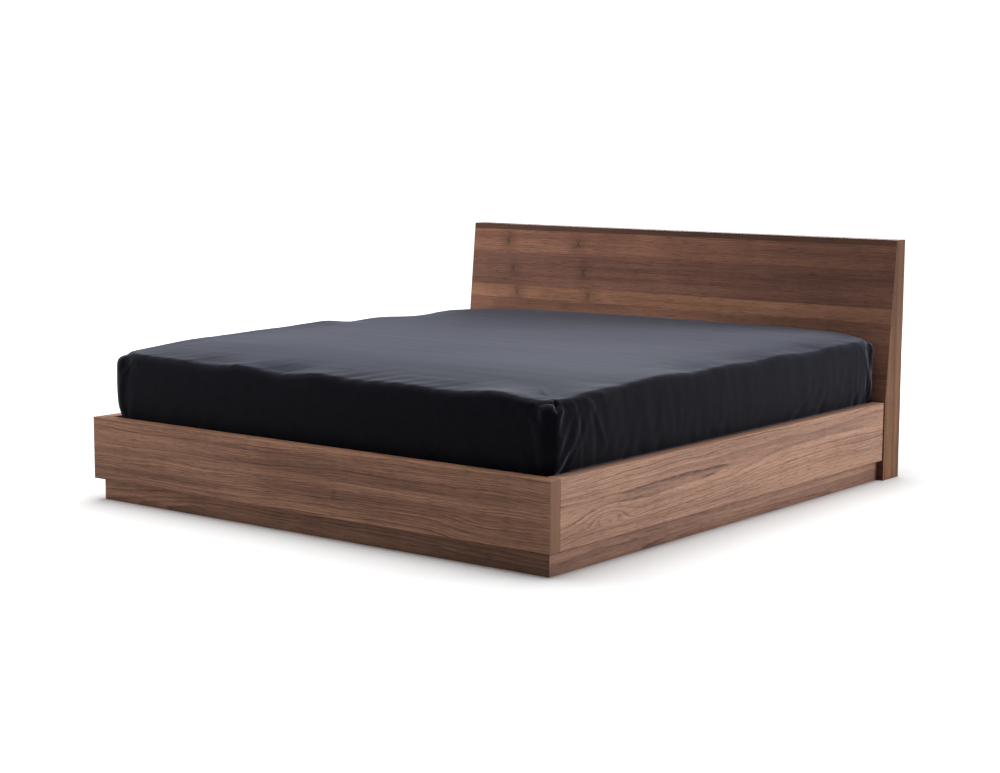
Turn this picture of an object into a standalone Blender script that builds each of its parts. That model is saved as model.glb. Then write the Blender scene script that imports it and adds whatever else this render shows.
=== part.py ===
"""King-size platform bed with a leaning box headboard, a slatted base and a sheeted mattress.

Frame: metres, +Z up, origin on the floor at the middle of the footprint, +Y towards the
headboard, +X to the side. Every physical piece is its own object.
"""
from math import cos, pi, radians, sin, tan, atan2, hypot

import bmesh
import bpy
from mathutils import Matrix, Vector

# ---------------------------------------------------------------- driving dimensions
GAP = 0.0003                 # clearance between pieces that touch
MITRE_GAP = GAP * 1.5        # along X, so that 45-degree faces stand a gap apart
FINE_EDGE = 0.0004           # easing of a crisp veneered edge
INNER_EDGE = 0.001           # easing of the pieces inside

BED_WIDTH = 2.030            # over the side rails
BASE_LENGTH = 2.140          # foot rail's outer face to the headboard's lower front
RAIL_THICKNESS = 0.050
RAIL_BOTTOM = 0.078
RAIL_TOP = 0.300
RAIL_EDGE = 0.0015           # rounding of the rails' edges

PLINTH_THICKNESS = 0.020
PLINTH_RECESS_FOOT = 0.029   # behind the foot rail's face
PLINTH_RECESS_SIDE = 0.023   # behind the side rails' faces

HEADBOARD_OVERHANG = 0.005   # each side, past the side rails
HEADBOARD_HEIGHT = 0.916
HEADBOARD_DEPTH = 0.127      # at the floor
HEADBOARD_TOP_DEPTH = 0.069
HEADBOARD_KINK = 0.306       # where the front starts to lean back
BOARD_THICKNESS = 0.022      # face boards and end boards, mitred together
BACK_THICKNESS = 0.018
FACE_BOARD_WIDTHS = (0.022, 0.097, 0.142, 0.057)   # from the top down; a fifth fills the rest
BACK_PANEL_BOTTOM = 0.008
BOTTOM_RAIL_LOW = 0.012      # the stretcher inside the headboard
BOTTOM_RAIL_TOP = 0.057
RIB_X = (-0.5, 0.0, 0.5)
RIB_THICKNESS = 0.018

SLAT_COUNT = 12
SLAT_WIDTH = 0.095
SLAT_THICKNESS = 0.018
CLEAT_WIDTH = 0.025
CLEAT_BOTTOM = 0.180
CLEAT_TOP = 0.220
SLAT_END_MARGIN = 0.020      # first and last slat to the rails
SLAT_SIDE_GAP = 0.0025

BEAM_WIDTH = 0.060
BEAM_BOTTOM = 0.140
LEG_SIZE = 0.045
LEG_BOTTOM = 0.024
LEG_Y = (-0.62, 0.0, 0.62)
STEM_RADIUS = 0.004
STEM_CLEARANCE = 0.0005
STEM_TOP = 0.056

MATTRESS_FOOT_GAP = 0.0045   # foot rail's inner face to the mattress
MATTRESS_LENGTH = 2.078
MATTRESS_SIDE_GAP = 0.0035   # side rail's inner face to the mattress
MATTRESS_TOP = 0.5550
MATTRESS_CORNER = 0.060
MATTRESS_EDGE = 0.035
SHEET_THICKNESS = 0.0012
SHEET_CLEARANCE = GAP * 1.5
SHEET_HEM = 0.002            # hem above the mattress underside

BRACKET_ARM = 0.070
BRACKET_THICKNESS = 0.004
BRACKET_BOTTOM = 0.100
BRACKET_TOP = 0.170
BOLT_REACH = 0.65            # share of the arm from its corner to the bolt
BOLT_RADIUS = 0.004
BOLT_LENGTH = 0.022
BOLT_HEAD_RADIUS = 0.008
BOLT_HEAD_HEIGHT = 0.004
HANGER_THICKNESS = 0.003
HANGER_LENGTH = 0.050

# ---------------------------------------------------------------- derived places
FOOT_Y = -(BASE_LENGTH + HEADBOARD_DEPTH) / 2
HEAD_Y = FOOT_Y + BASE_LENGTH                    # headboard's lower front face
BACK_Y = HEAD_Y + HEADBOARD_DEPTH
RAIL_X = BED_WIDTH / 2                           # side rail's outer face
RAIL_INNER_X = RAIL_X - RAIL_THICKNESS
FOOT_INNER_Y = FOOT_Y + RAIL_THICKNESS
HEADBOARD_X = RAIL_X + HEADBOARD_OVERHANG
HEADBOARD_INNER_X = HEADBOARD_X - BOARD_THICKNESS
RAKE = atan2(HEADBOARD_DEPTH - HEADBOARD_TOP_DEPTH, HEADBOARD_HEIGHT - HEADBOARD_KINK)
RAKE_LENGTH = hypot(HEADBOARD_DEPTH - HEADBOARD_TOP_DEPTH, HEADBOARD_HEIGHT - HEADBOARD_KINK)
SLAT_BOTTOM = CLEAT_TOP + GAP
SLAT_TOP = SLAT_BOTTOM + SLAT_THICKNESS
MATTRESS_BOTTOM = SLAT_TOP + GAP
MATTRESS_X = RAIL_INNER_X - MATTRESS_SIDE_GAP
MATTRESS_LOW_Y = FOOT_INNER_Y + MATTRESS_FOOT_GAP
MATTRESS_Y = MATTRESS_LOW_Y + MATTRESS_LENGTH / 2


def raked(along, inward):
    """(y, z) of a point on the leaning face: along it from the kink, and in from its surface."""
    return (HEAD_Y + along * sin(RAKE) + inward * cos(RAKE),
            HEADBOARD_KINK + along * cos(RAKE) - inward * sin(RAKE))


def raked_at_height(height, inward):
    """How far along the leaning face, at a given depth in from it, a height is reached."""
    return (height - HEADBOARD_KINK + inward * sin(RAKE)) / cos(RAKE)


# ---------------------------------------------------------------- materials
def material(name, color, roughness, metallic=0.0):
    made = bpy.data.materials.new(name)
    made.use_nodes = True
    shader = made.node_tree.nodes["Principled BSDF"]
    shader.inputs["Base Color"].default_value = (*color, 1.0)
    shader.inputs["Roughness"].default_value = roughness
    shader.inputs["Metallic"].default_value = metallic
    return made


def finishes():
    return {
        "walnut": ((0.20, 0.115, 0.075), 0.5, 0.0),
        "slat_wood": ((0.62, 0.47, 0.30), 0.6, 0.0),
        "beam_wood": ((0.55, 0.40, 0.25), 0.6, 0.0),
        "steel": ((0.05, 0.05, 0.055), 0.45, 0.9),
        "zinc": ((0.55, 0.56, 0.58), 0.35, 1.0),
        "foot_plastic": ((0.02, 0.02, 0.022), 0.6, 0.0),
        "ticking": ((0.75, 0.74, 0.71), 0.9, 0.0),
        "sheet": ((0.022, 0.023, 0.030), 0.85, 0.0),
    }


# ---------------------------------------------------------------- mesh helpers
def add(name, mesh_maker, finish, location=(0, 0, 0), rotation=(0, 0, 0), parent=None, edge=0.0):
    """One object from a function that fills a bmesh in the object's own coordinates."""
    mesh = bpy.data.meshes.new(name)
    build = bmesh.new()
    mesh_maker(build)
    bmesh.ops.recalc_face_normals(build, faces=build.faces)
    build.to_mesh(mesh)
    build.free()
    mesh.materials.append(material(name, *finishes()[finish]))
    made = bpy.data.objects.new(name, mesh)
    made.location = location
    made.rotation_euler = rotation
    made.parent = parent
    bpy.context.scene.collection.objects.link(made)
    if edge:
        bevel = made.modifiers.new("edges", "BEVEL")
        bevel.width = edge
        bevel.segments = 1 if edge <= INNER_EDGE else 2
        bevel.limit_method = "ANGLE"
        bevel.angle_limit = radians(30)
    return made


def loft(build, rings):
    """Join closed rings of points in turn and cap both ends."""
    made = [[build.verts.new(p) for p in ring] for ring in rings]
    for low, high in zip(made, made[1:]):
        for i in range(len(low)):
            j = (i + 1) % len(low)
            build.faces.new((low[i], low[j], high[j], high[i]))
    build.faces.new(made[0])
    build.faces.new(made[-1])


def box(name, low, high, finish, edge=0.0, rotation=(0, 0, 0)):
    """A block given by its lowest and highest corners; its origin is at its middle."""
    low, high = Vector(low), Vector(high)
    half = (high - low) / 2

    def make(build):
        corners = [(-half.x, -half.y), (half.x, -half.y), (half.x, half.y), (-half.x, half.y)]
        loft(build, [[(x, y, z) for x, y in corners] for z in (-half.z, half.z)])

    return add(name, make, finish, (low + high) / 2, rotation, edge=edge)


def plan_prism(name, outline, low, high, finish, edge=0.0):
    """An outline in plan, from one height to another."""
    def make(build):
        loft(build, [[(x, y, z) for x, y in outline] for z in (0.0, high - low)])

    return add(name, make, finish, (0, 0, low), edge=edge)


def mitred_board(name, profile, half_widths, finish, location, parent=None, edge=0.0):
    """A (y, z) profile run along X, each profile point to its own half width."""
    def make(build):
        loft(build, [[(side * half, y, z) for (y, z), half in zip(profile, half_widths)]
                     for side in (-1, 1)])

    return add(name, make, finish, location, parent=parent, edge=edge)


def turned(build, profile, segments, angle=0.0):
    """A solid turned about Z from (radius, z) pairs that start and end on a flat face."""
    steps = [angle + 2 * pi * i / segments for i in range(segments)]
    loft(build, [[(r * cos(a), r * sin(a), z) for a in steps] for r, z in profile])


# ---------------------------------------------------------------- headboard
def headboard():
    t = BOARD_THICKNESS
    half_front = HEADBOARD_X - MITRE_GAP
    half_back = HEADBOARD_INNER_X - MITRE_GAP
    kink_drop = t * tan(RAKE / 2)

    lean = bpy.data.objects.new("headboard_lean", None)
    lean.location = (0, HEAD_Y, HEADBOARD_KINK)
    lean.rotation_euler = (-RAKE, 0, 0)
    bpy.context.scene.collection.objects.link(lean)

    top = RAKE_LENGTH
    bottoms = []
    for width in FACE_BOARD_WIDTHS:
        top -= width
        bottoms.append(top)
    bottoms.append(0.0)
    top = RAKE_LENGTH
    for number, bottom in enumerate(bottoms, start=1):
        is_top = number == 1
        is_lowest = number == len(bottoms)
        height = top - bottom - GAP
        back_top = raked_at_height(HEADBOARD_HEIGHT, t) - bottom if is_top else height
        front_top = top - bottom if is_top else height
        back_bottom = kink_drop if is_lowest else 0.0
        profile = [(0, 0), (0, front_top), (t, back_top), (t, back_bottom)]
        mitred_board(f"headboard_face_board_{number}", profile,
                     (half_front, half_front, half_back, half_back), "walnut",
                     (0, 0, bottom), parent=lean, edge=FINE_EDGE)
        top = bottom

    lower_top = HEADBOARD_KINK - GAP
    profile = [(0, 0), (0, lower_top), (t, lower_top - kink_drop), (t, 0)]
    mitred_board("headboard_lower_panel", profile,
                 (half_front, half_front, half_back, half_back), "walnut",
                 (0, HEAD_Y, 0), edge=FINE_EDGE)

    inner_kink = (HEAD_Y + t, HEADBOARD_KINK - kink_drop)
    outer = [(BACK_Y, 0), (HEAD_Y, 0), (HEAD_Y, HEADBOARD_KINK),
             raked(RAKE_LENGTH, 0), (BACK_Y, HEADBOARD_HEIGHT)]
    inner = [(BACK_Y, 0), (HEAD_Y + t, 0), inner_kink,
             raked(raked_at_height(HEADBOARD_HEIGHT, t), t), (BACK_Y, HEADBOARD_HEIGHT)]
    for side, word in ((-1, "left"), (1, "right")):
        def make(build, side=side):
            loft(build, [[(0, y, z) for y, z in outer],
                         [(-side * t, y, z) for y, z in inner]])

        add(f"headboard_{word}_end", make, "walnut", (side * HEADBOARD_X, 0, 0), edge=FINE_EDGE)

    inside = HEADBOARD_INNER_X - GAP
    back_front = BACK_Y - BACK_THICKNESS
    box("headboard_back_panel", (-inside, back_front, BACK_PANEL_BOTTOM),
        (inside, BACK_Y, HEADBOARD_HEIGHT), "walnut", edge=FINE_EDGE)

    top_low = HEADBOARD_HEIGHT - BACK_THICKNESS
    y_low = raked(raked_at_height(top_low, t), t)[0] + GAP
    y_high = raked(raked_at_height(HEADBOARD_HEIGHT, t), t)[0] + GAP
    profile = [(y_low, top_low), (y_high, HEADBOARD_HEIGHT),
               (back_front - GAP, HEADBOARD_HEIGHT), (back_front - GAP, top_low)]
    mitred_board("headboard_top_panel", profile, (inside,) * 4, "walnut", (0, 0, 0), edge=FINE_EDGE)

    box("headboard_bottom_rail", (-inside, HEAD_Y + t + GAP, BOTTOM_RAIL_LOW),
        (inside, back_front - GAP, BOTTOM_RAIL_TOP), "beam_wood", edge=INNER_EDGE)
    high = top_low - GAP
    low = BOTTOM_RAIL_TOP + GAP
    front = [(HEAD_Y + t + GAP, low), (inner_kink[0] + GAP, inner_kink[1]),
             (raked(raked_at_height(high, t), t)[0] + GAP, high)]
    rib = front + [(back_front - GAP, high), (back_front - GAP, low)]
    for number, x in enumerate(RIB_X, start=1):
        mitred_board(f"headboard_rib_{number}", rib, (RIB_THICKNESS / 2,) * 5, "beam_wood",
                     (x, 0, 0))


# ---------------------------------------------------------------- rails and plinth
def rails():
    foot = box("foot_rail", (-RAIL_X, FOOT_Y, RAIL_BOTTOM), (RAIL_X, FOOT_INNER_Y, RAIL_TOP),
               "walnut", edge=RAIL_EDGE)
    sides = {}
    for side, word in ((-1, "left"), (1, "right")):
        xs = sorted((side * RAIL_X, side * RAIL_INNER_X))
        sides[word] = box(f"side_rail_{word}", (xs[0], FOOT_INNER_Y + GAP, RAIL_BOTTOM),
                          (xs[1], HEAD_Y - GAP, RAIL_TOP), "walnut", edge=RAIL_EDGE)
    return foot, sides


def plinth():
    top = RAIL_BOTTOM - GAP
    x_out = RAIL_X - PLINTH_RECESS_SIDE
    x_in = x_out - PLINTH_THICKNESS
    y_out = FOOT_Y + PLINTH_RECESS_FOOT
    y_in = y_out + PLINTH_THICKNESS
    foot = [(-x_out + MITRE_GAP, y_out), (x_out - MITRE_GAP, y_out), (x_in - MITRE_GAP, y_in),
            (-x_in + MITRE_GAP, y_in)]
    plan_prism("plinth_foot_board", foot, 0, top, "walnut", edge=FINE_EDGE)
    for side, word in ((-1, "left"), (1, "right")):
        board = [(side * x_out, y_out), (side * x_out, HEAD_Y - GAP),
                 (side * x_in, HEAD_Y - GAP), (side * x_in, y_in)]
        plan_prism(f"plinth_{word}_board", board, 0, top, "walnut", edge=FINE_EDGE)
    box("plinth_head_board", (-x_in + GAP, HEAD_Y - GAP - PLINTH_THICKNESS, 0),
        (x_in - GAP, HEAD_Y - GAP, top), "walnut", edge=FINE_EDGE)


# ---------------------------------------------------------------- slatted base
def slatted_base():
    low_y = FOOT_INNER_Y + SLAT_END_MARGIN
    high_y = HEAD_Y - SLAT_END_MARGIN
    for side, word in ((-1, "left"), (1, "right")):
        outer = side * (RAIL_INNER_X - GAP)
        xs = sorted((outer, outer - side * CLEAT_WIDTH))
        box(f"slat_cleat_{word}", (xs[0], low_y, CLEAT_BOTTOM), (xs[1], high_y, CLEAT_TOP),
            "beam_wood", edge=INNER_EDGE)
    half = RAIL_INNER_X - SLAT_SIDE_GAP
    pitch = (high_y - low_y - SLAT_WIDTH) / (SLAT_COUNT - 1)
    for number in range(SLAT_COUNT):
        y = low_y + number * pitch
        box(f"slat_{number + 1:02d}", (-half, y, SLAT_BOTTOM), (half, y + SLAT_WIDTH, SLAT_TOP),
            "slat_wood", edge=0.0015)


def centre_support():
    end = GAP * 2
    beam_half = BEAM_WIDTH / 2
    beam_low_y = FOOT_INNER_Y + end
    beam_high_y = HEAD_Y - end
    box("centre_beam", (-beam_half, beam_low_y, BEAM_BOTTOM), (beam_half, beam_high_y, CLEAT_TOP),
        "beam_wood", edge=INNER_EDGE)

    inner = beam_half + GAP
    outer = inner + HANGER_THICKNESS
    floor = BEAM_BOTTOM - GAP
    hanger_top = CLEAT_TOP - 0.015
    outline = [(-outer, hanger_top), (-outer, floor - HANGER_THICKNESS),
               (outer, floor - HANGER_THICKNESS), (outer, hanger_top), (inner, hanger_top),
               (inner, floor), (-inner, floor), (-inner, hanger_top)]
    for word, y in (("foot", FOOT_INNER_Y + GAP), ("head", HEAD_Y - GAP - HANGER_LENGTH)):
        def make(build):
            loft(build, [[(x, dy, z) for x, z in outline] for dy in (0, HANGER_LENGTH)])

        add(f"beam_hanger_{word}", make, "steel", (0, y, 0))

    for number, y in enumerate(LEG_Y, start=1):
        half = LEG_SIZE / 2
        leg = box(f"centre_leg_{number}", (-half, y - half, LEG_BOTTOM),
                  (half, y + half, BEAM_BOTTOM - GAP), "beam_wood", edge=0.002)
        hole = STEM_RADIUS + STEM_CLEARANCE
        drill(f"stem_hole_{number}", Matrix.Translation((0, y, LEG_BOTTOM - 0.01)), hole,
              0.050, [leg])

        def make(build):
            pad, nut = 0.018, 0.0075
            turned(build, [(pad - 0.001, 0), (pad, 0.001), (pad, 0.006), (pad - 0.002, 0.008),
                           (nut, 0.009), (nut, 0.015), (STEM_RADIUS, 0.0152),
                           (STEM_RADIUS, STEM_TOP - 0.001), (STEM_RADIUS - 0.001, STEM_TOP)], 24)

        add(f"levelling_foot_{number}", make, "foot_plastic", (0, y, 0))


# ---------------------------------------------------------------- corner brackets and bolts
def drill(name, placing, radius, depth, targets):
    """Cut a round hole along the placing's Z from its origin into each target."""
    def make(build):
        turned(build, [(radius, 0), (radius, depth)], 16)

    cutter = add(name, make, "steel")
    cutter.matrix_world = placing
    cutter.hide_render = True
    cutter.display_type = "WIRE"
    for target in targets:
        cut = target.modifiers.new(name, "BOOLEAN")
        cut.operation = "DIFFERENCE"
        cut.solver = "EXACT"
        cut.object = cutter


def bolt(name, point, direction, targets):
    """A button-head bolt whose head seats at point and whose shank runs along direction."""
    turn = Vector(direction).to_track_quat("Z", "Y").to_matrix().to_4x4()
    placing = Matrix.Translation(point) @ turn
    shank_top = -GAP

    def make(build):
        turned(build, [(BOLT_HEAD_RADIUS * 0.6, shank_top - BOLT_HEAD_HEIGHT),
                       (BOLT_HEAD_RADIUS * 0.9, shank_top - BOLT_HEAD_HEIGHT * 0.6),
                       (BOLT_HEAD_RADIUS, shank_top - 0.0005), (BOLT_HEAD_RADIUS, shank_top),
                       (BOLT_RADIUS, shank_top), (BOLT_RADIUS, BOLT_LENGTH)], 16)

    made = add(name, make, "zinc")
    made.matrix_world = placing
    start = placing @ Matrix.Translation((0, 0, -0.002))
    drill(f"{name}_hole", start, BOLT_RADIUS + GAP, BOLT_LENGTH + 0.003, targets)


def corner_brackets(foot, sides):
    """Steel angles that bolt the side rails to the foot rail and to the headboard."""
    middle = (BRACKET_BOTTOM + BRACKET_TOP) / 2
    lower_panel = bpy.data.objects["headboard_lower_panel"]
    t = BRACKET_THICKNESS
    ends = (("foot", FOOT_INNER_Y, -1, foot), ("head", HEAD_Y, 1, lower_panel))
    for end, end_y, into, cross in ends:
        for side, word in ((-1, "left"), (1, "right")):
            x0 = side * (RAIL_INNER_X - GAP)
            y0 = end_y - into * GAP
            arm_x, arm_y = x0 - side * BRACKET_ARM, y0 - into * BRACKET_ARM
            face_x, face_y = x0 - side * t, y0 - into * t
            outline = [(x0, y0), (arm_x, y0), (arm_x, face_y), (face_x, face_y),
                       (face_x, arm_y), (x0, arm_y)]
            bracket = plan_prism(f"corner_bracket_{end}_{word}", outline, BRACKET_BOTTOM,
                                 BRACKET_TOP, "steel")
            reach = BRACKET_ARM * BOLT_REACH
            bolt(f"rail_bolt_{end}_{word}", (face_x, y0 - into * reach, middle),
                 (side, 0, 0), [bracket, sides[word]])
            bolt(f"cross_bolt_{end}_{word}", (x0 - side * reach, face_y, middle),
                 (0, into, 0), [bracket, cross])


# ---------------------------------------------------------------- mattress and sheet
def rounded_ring(half_x, half_y, corner, inset, z, segments=5):
    """A rectangle with rounded corners, at one height, moved in by inset."""
    radius = corner - inset
    ring = []
    for quarter, (sx, sy) in enumerate(((1, 1), (-1, 1), (-1, -1), (1, -1))):
        for step in range(segments + 1):
            a = (quarter + step / segments) * pi / 2
            ring.append((sx * (half_x - corner) + radius * cos(a),
                         sy * (half_y - corner) + radius * sin(a), z))
    return ring


def edge_steps(edge, segments=3):
    """(inset, drop) pairs round a quarter circle, from the side wall to the flat."""
    return [(edge * (1 - cos(a)), edge * (1 - sin(a)))
            for a in (pi / 2 * i / segments for i in range(segments + 1))]


def mattress_and_sheet():
    half_y = MATTRESS_LENGTH / 2
    height = MATTRESS_TOP - MATTRESS_BOTTOM
    steps = edge_steps(MATTRESS_EDGE)

    def make_mattress(build):
        lower = [rounded_ring(MATTRESS_X, half_y, MATTRESS_CORNER, inset, drop)
                 for inset, drop in reversed(steps)]
        upper = [rounded_ring(MATTRESS_X, half_y, MATTRESS_CORNER, inset, height - drop)
                 for inset, drop in steps]
        loft(build, lower + upper)

    place = (0, MATTRESS_Y, MATTRESS_BOTTOM)
    add("mattress", make_mattress, "ticking", place)

    def make_sheet(build):
        def skin(grow):
            wall = [rounded_ring(MATTRESS_X + grow, half_y + grow, MATTRESS_CORNER + grow, 0,
                                 SHEET_HEM)]
            return wall + [rounded_ring(MATTRESS_X + grow, half_y + grow, MATTRESS_CORNER + grow,
                                        inset, height + grow - drop)
                           for inset, drop in edge_steps(MATTRESS_EDGE)]

        inner = skin(SHEET_CLEARANCE)
        outer = skin(SHEET_CLEARANCE + SHEET_THICKNESS)
        loft(build, inner[::-1] + outer)

    add("fitted_sheet", make_sheet, "sheet", place)


def clear_scene():
    for existing in list(bpy.data.objects):
        bpy.data.objects.remove(existing, do_unlink=True)


clear_scene()
headboard()
foot_rail, side_rails = rails()
plinth()
slatted_base()
centre_support()
corner_brackets(foot_rail, side_rails)
mattress_and_sheet()
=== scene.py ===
"""Looks for the platform bed: walnut veneer, slats, hardware, mattress and fitted sheet."""

from collections import namedtuple
from math import cos, pi, radians, sin

import bpy
import numpy as np
from mathutils import Matrix, Vector, noise


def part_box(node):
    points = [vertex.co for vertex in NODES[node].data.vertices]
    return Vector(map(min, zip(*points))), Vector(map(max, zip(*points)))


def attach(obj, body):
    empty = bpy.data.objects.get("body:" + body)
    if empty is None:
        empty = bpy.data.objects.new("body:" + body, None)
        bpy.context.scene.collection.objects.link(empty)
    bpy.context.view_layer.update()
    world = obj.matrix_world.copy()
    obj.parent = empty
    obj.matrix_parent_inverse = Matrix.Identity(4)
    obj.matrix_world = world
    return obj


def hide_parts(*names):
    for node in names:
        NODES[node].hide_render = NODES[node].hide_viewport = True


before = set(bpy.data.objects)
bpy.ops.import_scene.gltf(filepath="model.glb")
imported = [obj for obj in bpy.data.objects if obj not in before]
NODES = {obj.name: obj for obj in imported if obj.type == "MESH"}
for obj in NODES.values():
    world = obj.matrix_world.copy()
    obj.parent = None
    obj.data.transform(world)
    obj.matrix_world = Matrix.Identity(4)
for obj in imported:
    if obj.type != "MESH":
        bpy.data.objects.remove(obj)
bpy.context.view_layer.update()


# ---------------------------------------------------------------- node graph helper
MIX_A, MIX_B, MIX_RESULT = 6, 7, 2         # the Mix node's sockets for colours


class Graph:
    """Short forms for building a node tree; a value may be a number, a colour or a socket."""

    def __init__(self, tree):
        self.tree = tree
        tree.nodes.clear()

    def link(self, out, into):
        self.tree.links.new(out, into)

    def plug(self, socket, value):
        if isinstance(value, bpy.types.NodeSocket):
            self.link(value, socket)
        elif value is not None:
            socket.default_value = value

    def node(self, kind, **inputs):
        made = self.tree.nodes.new(kind)
        for key, value in inputs.items():
            self.plug(made.inputs[key], value)
        return made

    def math(self, operation, *values, clamp=False):
        made = self.tree.nodes.new("ShaderNodeMath")
        made.operation = operation
        made.use_clamp = clamp
        for socket, value in zip(made.inputs, values):
            self.plug(socket, value)
        return made.outputs[0]

    def total(self, *values):
        result = values[0]
        for value in values[1:]:
            result = self.math("ADD", result, value)
        return result

    def scaled(self, x, y, z):
        made = self.tree.nodes.new("ShaderNodeCombineXYZ")
        for socket, value in zip(made.inputs, (x, y, z)):
            self.plug(socket, value)
        return made.outputs[0]

    def noise(self, vector, detail=2.0, rough=0.5, scale=1.0, dimensions="3D"):
        made = self.tree.nodes.new("ShaderNodeTexNoise")
        made.noise_dimensions = dimensions
        self.plug(made.inputs["Vector"], vector)
        made.inputs["Scale"].default_value = scale
        made.inputs["Detail"].default_value = detail
        made.inputs["Roughness"].default_value = rough
        return made.outputs["Fac"]

    def ranged(self, value, low, high, to_low=0.0, to_high=1.0, smooth=True):
        made = self.tree.nodes.new("ShaderNodeMapRange")
        made.interpolation_type = "SMOOTHSTEP" if smooth else "LINEAR"
        for socket, v in zip(made.inputs, (value, low, high, to_low, to_high)):
            self.plug(socket, v)
        return made.outputs["Result"]

    def mix(self, share, a, b, blend="MIX"):
        made = self.tree.nodes.new("ShaderNodeMix")
        made.data_type = "RGBA"
        made.blend_type = blend
        made.clamp_factor = True
        self.plug(made.inputs["Factor"], share)
        self.plug(made.inputs[MIX_A], a)
        self.plug(made.inputs[MIX_B], b)
        return made.outputs[MIX_RESULT]

    def bump(self, height, distance, strength=1.0, normal=None):
        made = self.tree.nodes.new("ShaderNodeBump")
        made.inputs["Strength"].default_value = strength
        made.inputs["Distance"].default_value = distance
        self.plug(made.inputs["Height"], height)
        self.plug(made.inputs["Normal"], normal)
        return made.outputs["Normal"]

    def shader(self, **inputs):
        made = self.node("ShaderNodeBsdfPrincipled")
        for key, value in inputs.items():
            self.plug(made.inputs[key.replace("_", " ")], value)
        self.link(made.outputs[0], self.node("ShaderNodeOutputMaterial").inputs["Surface"])
        return made


def new_material(name):
    made = bpy.data.materials.new(name)
    made.use_nodes = True
    return made, Graph(made.node_tree)


def rgb(*values):
    """A linear colour from sRGB numbers of 0 to 255."""
    linear = [((v / 255 + 0.055) / 1.055) ** 2.4 if v > 10 else v / 255 / 12.92 for v in values]
    return (*linear, 1.0)


# ---------------------------------------------------------------- camera, light and floor
CAMERA_PLACE = (4.361, -5.697, 1.327)
CAMERA_TURN = (-37.772, 7.524, 0.271)      # yaw, pitch down and roll, in degrees
CAMERA_LENS = 70.2                         # millimetres, on a sensor 36 mm wide
WORLD_FILL = 0.27                          # strength of the even light from all round
BACKDROP = 1.05                            # brightness of the backdrop that the camera sees
FLOOR_SIZE = 80.0
FLOOR_DROP = 0.0002                        # how far the floor lies below the bed
FLOOR_TONE = (0.735, 0.745)                # its darkest and lightest grain
FLOOR_FADE = (1.9, 5.0)                    # distances from the bed over which the floor turns white
# Each softbox: name, place, what it points at, width and height, and power in watts.
SOFTBOXES = (("top_softbox", (-0.25, 0.2, 5.0), (-0.1, 0.0, 0.3), (4.6, 4.6), 440),
             ("side_softbox", (5.6, 3.4, 1.8), (1.0, 0.3, 0.3), (3.0, 2.2), 185),
             ("left_softbox", (-4.3, -3.0, 2.4), (-0.6, 0.6, 0.5), (2.2, 2.2), 88),
             ("back_softbox", (-1.6, 6.0, 1.8), (0.4, -0.2, 0.5), (5.0, 2.4), 155))


def camera():
    yaw, pitch, roll = (radians(angle) for angle in CAMERA_TURN)
    forward = Vector((sin(yaw) * cos(pitch), cos(yaw) * cos(pitch), -sin(pitch)))
    level = Vector((cos(yaw), -sin(yaw), 0))
    up = level.cross(forward)
    right = cos(roll) * level + sin(roll) * up
    up = cos(roll) * up - sin(roll) * level
    data = bpy.data.cameras.new("camera")
    data.lens = CAMERA_LENS
    data.sensor_width = 36
    data.clip_end = 200
    made = bpy.data.objects.new("camera", data)
    turned = Matrix((right, up, -forward)).transposed().to_4x4()
    made.matrix_world = Matrix.Translation(CAMERA_PLACE) @ turned
    bpy.context.scene.collection.objects.link(made)
    bpy.context.scene.camera = made


def area_light(name, place, target, size, power):
    data = bpy.data.lights.new(name, "AREA")
    data.shape = "RECTANGLE"
    data.size, data.size_y = size
    data.energy = power
    made = bpy.data.objects.new(name, data)
    made.location = place
    made.rotation_mode = "QUATERNION"
    made.rotation_quaternion = (Vector(target) - Vector(place)).to_track_quat("-Z", "Y")
    made.visible_camera = False
    bpy.context.scene.collection.objects.link(made)


def studio_world():
    """Even fill light, and a white backdrop where the camera looks past the floor."""
    world = bpy.data.worlds.new("studio")
    bpy.context.scene.world = world
    world.use_nodes = True
    g = Graph(world.node_tree)
    ray = g.node("ShaderNodeLightPath")
    fill = g.node("ShaderNodeBackground", Color=(1, 1, 1, 1), Strength=WORLD_FILL)
    backdrop = g.node("ShaderNodeBackground", Color=(1, 1, 1, 1), Strength=BACKDROP)
    mix = g.node("ShaderNodeMixShader")
    g.link(ray.outputs["Is Camera Ray"], mix.inputs[0])
    g.link(fill.outputs[0], mix.inputs[1])
    g.link(backdrop.outputs[0], mix.inputs[2])
    g.link(mix.outputs[0], g.node("ShaderNodeOutputWorld").inputs["Surface"])


def studio_floor():
    """A plain pale floor that turns white away from the bed."""
    half = FLOOR_SIZE / 2
    mesh = bpy.data.meshes.new("floor")
    mesh.from_pydata([(-half, -half, 0), (half, -half, 0), (half, half, 0), (-half, half, 0)],
                     [], [(0, 1, 2, 3)])
    floor = bpy.data.objects.new("floor", mesh)
    floor.location.z = -FLOOR_DROP
    bpy.context.scene.collection.objects.link(floor)
    paper, g = new_material("floor")
    place = g.node("ShaderNodeTexCoord").outputs["Object"]
    reach = g.node("ShaderNodeVectorMath")
    reach.operation = "LENGTH"
    g.link(place, reach.inputs[0])
    glow = g.ranged(reach.outputs["Value"], *FLOOR_FADE)
    grain = g.ranged(g.noise(place, 3.0, scale=60.0), 0.3, 0.7, *FLOOR_TONE)
    g.shader(Base_Color=g.node("ShaderNodeCombineColor", Red=grain, Green=grain, Blue=grain).outputs[0],
             Roughness=0.9, Specular_IOR_Level=0.0, Emission_Color=(1, 1, 1, 1), Emission_Strength=glow)
    mesh.materials.append(paper)


def studio():
    bpy.context.scene.view_settings.view_transform = "Standard"
    studio_world()
    for softbox in SOFTBOXES:
        area_light(*softbox)
    studio_floor()


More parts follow.
